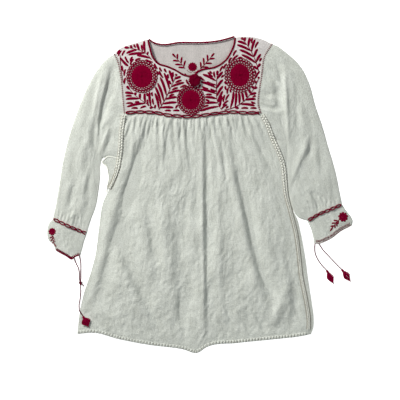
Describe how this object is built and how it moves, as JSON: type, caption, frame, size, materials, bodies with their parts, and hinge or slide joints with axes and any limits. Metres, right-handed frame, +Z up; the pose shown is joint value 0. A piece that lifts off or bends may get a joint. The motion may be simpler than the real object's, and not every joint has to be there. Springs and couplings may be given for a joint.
{
  "type": "peasant blouse",
  "caption": "Peasant blouse laid flat, with an embroidered square yoke, gathered body, three-quarter sleeves, banded cuffs and tasselled ties.",
  "frame": {"origin": "on the floor under the middle of the blouse, on the flat underside of its back panel", "axes": "+Z up out of the floor, through the front of the blouse; +Y towards the neck; +X towards the sleeve on the viewer's right"},
  "size_m": [0.7495, 0.7763, 0.0173],
  "materials": {
    "cotton": "soft off-white crinkled cotton",
    "crimson_thread": "dense crimson embroidery thread",
    "tie_cord": "twisted dark red cord"
  },
  "bodies": {
    "root": {"body_front": "cotton", "body_back": "cotton", "side_right": "cotton", "yoke_front": "cotton", "yoke_back": "cotton", "sleeve_left": "cotton", "sleeve_right": "cotton", "gusset_left": "cotton", "gusset_right": "cotton", "cuff_left": "cotton", "cuff_right": "cotton", "seam_left": "cotton", "seam_right": "cotton", "hem_front": "cotton", "binding_front": "crimson_thread", "binding_back": "crimson_thread", "band_yoke": "crimson_thread", "band_cuff_left": "crimson_thread", "band_cuff_right": "crimson_thread", "flower_left": "crimson_thread", "flower_right": "crimson_thread", "flower_middle": "crimson_thread", "flower_back": "crimson_thread", "neck_pompom": "crimson_thread", "tassel_left": "crimson_thread", "tassel_right_a": "crimson_thread", "tassel_right_b": "crimson_thread", "tie_left_a": "tie_cord", "tie_left_b": "tie_cord", "tie_right_a": "tie_cord", "tie_right_b": "tie_cord"}
  },
  "joints": []
}
